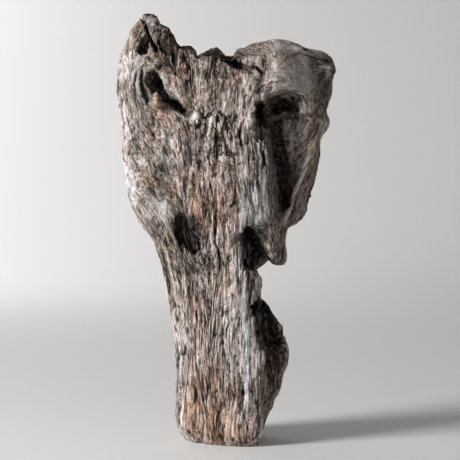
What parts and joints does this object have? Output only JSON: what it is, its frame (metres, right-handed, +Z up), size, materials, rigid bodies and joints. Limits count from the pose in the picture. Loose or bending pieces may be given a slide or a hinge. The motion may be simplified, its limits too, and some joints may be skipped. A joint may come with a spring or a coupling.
{
  "type": "piece of driftwood",
  "caption": "Upright weathered driftwood trunk with a split peak, deep hollows and a notched side wing, standing on its flat cut end as an ornament.",
  "frame": {"origin": "middle of the flat resting end, on the surface it stands on", "axes": "+Z up the trunk, -Y towards the broad front face, +X towards the side with the wing and the heel"},
  "size_m": [0.2275, 0.0971, 0.4393],
  "materials": {
    "weathered_wood": "matte, sun-silvered and ridged along the grain, dark in the cracks"
  },
  "bodies": {
    "root": {"driftwood": "weathered_wood"}
  },
  "joints": []
}
